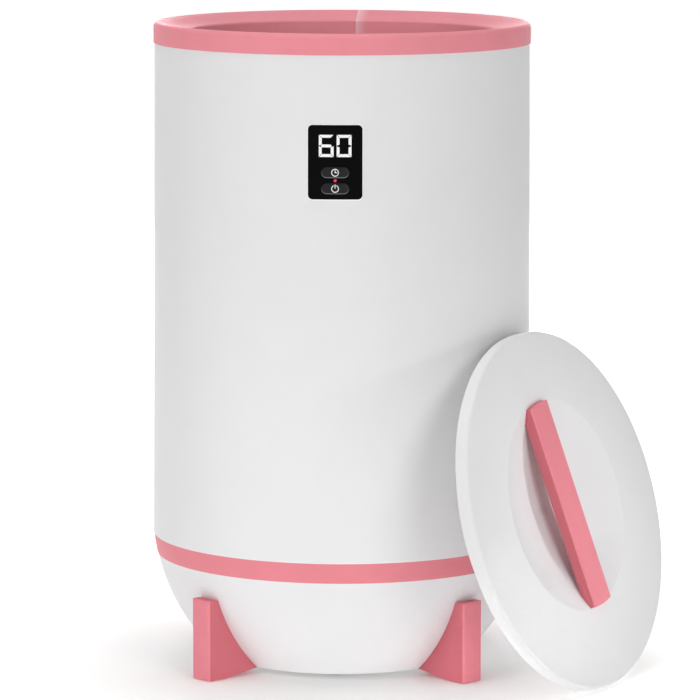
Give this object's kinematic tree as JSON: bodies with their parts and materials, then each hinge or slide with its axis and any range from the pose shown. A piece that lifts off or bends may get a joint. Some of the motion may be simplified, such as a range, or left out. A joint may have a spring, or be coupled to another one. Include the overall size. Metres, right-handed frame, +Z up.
{
  "type": "towel warmer bucket",
  "caption": "Tall round towel warmer bucket on fin feet with a front touch panel and an open mouth, and its dished lid leaning against its side.",
  "frame": {"origin": "on the floor under the middle of the body", "axes": "+Z up, the control panel faces -Y, +X to the right of someone who looks at the panel"},
  "size_m": [0.4057, 0.3754, 0.507],
  "materials": {
    "white_shell": "satin, very fine grain",
    "pink_trim": "satin, smooth moulded",
    "pad_rubber": "matte",
    "screw_steel": "zinc plated",
    "chassis_plastic": "heat-resistant plastic, as moulded",
    "liner_aluminium": "drawn, satin",
    "heater_silicone": "silicone sheath",
    "heater_foil_metal": "thin foil",
    "felt": "pressed fibre",
    "thermostat_body": "phenolic",
    "fuse_ceramic": "glazed ceramic",
    "circuit_board": "solder mask",
    "board_parts": "moulded cases",
    "wire_sheath": "smooth",
    "gland_rubber": "matte",
    "inner_black": "as moulded",
    "bezel_white": "polished",
    "lens_black": "high gloss",
    "digit_light": "lit segments",
    "led_red": "tinted",
    "button_grey": "semi-gloss",
    "icon_print": "printed sign",
    "seal_silicone": "soft silicone"
  },
  "bodies": {
    "bucket": {"outer_shell": "white_shell", "rim_ring": "pink_trim", "band_ring": "pink_trim", "base_bowl": "white_shell", "foot_front_left": "pink_trim", "foot_front_right": "pink_trim", "foot_rear_left": "pink_trim", "foot_rear_right": "pink_trim", "foot_pads": "pad_rubber", "foot_screws": "screw_steel", "chassis_plate": "chassis_plastic", "chassis_screws": "screw_steel", "base_screws": "screw_steel", "inner_liner": "liner_aluminium", "heater_cord": "heater_silicone", "heater_foil": "heater_foil_metal", "insulation_sleeve": "felt", "thermostat": "thermostat_body", "thermal_fuse": "fuse_ceramic", "power_board": "circuit_board", "power_components": "board_parts", "power_screws": "screw_steel", "wire_harness": "wire_sheath", "cord_gland": "gland_rubber", "panel_housing": "inner_black", "panel_screws": "screw_steel", "control_board": "circuit_board", "tact_switches": "inner_black", "display_module": "inner_black", "panel_bezel": "bezel_white", "panel_lens": "lens_black", "display_digits": "digit_light", "indicator_led": "led_red"},
    "timer_key": {"timer_button": "button_grey", "timer_icon": "icon_print"},
    "power_key": {"power_button": "button_grey", "power_icon": "icon_print"},
    "lid": {"lid_top": "white_shell", "lid_underside": "white_shell", "lid_seal": "seal_silicone", "lid_insulation": "felt", "handle_bar": "pink_trim", "handle_screws": "screw_steel"}
  },
  "joints": [
    {"name": "timer_button_press", "type": "slide", "parent": "bucket", "child": "timer_key", "axis": [0, 1, 0], "range_m": [0, 0.0008], "stiffness_N_per_m": 1500, "springref_m": -0.0005},
    {"name": "power_button_press", "type": "slide", "parent": "bucket", "child": "power_key", "axis": [0, 1, 0], "range_m": [0, 0.0008], "stiffness_N_per_m": 1500, "springref_m": -0.0005},
    {"name": "lid_lift", "type": "slide", "parent": "bucket", "child": "lid", "axis": [0.1504, -0.0868, 0.9848], "range_m": [0, 0.55]}
  ]
}
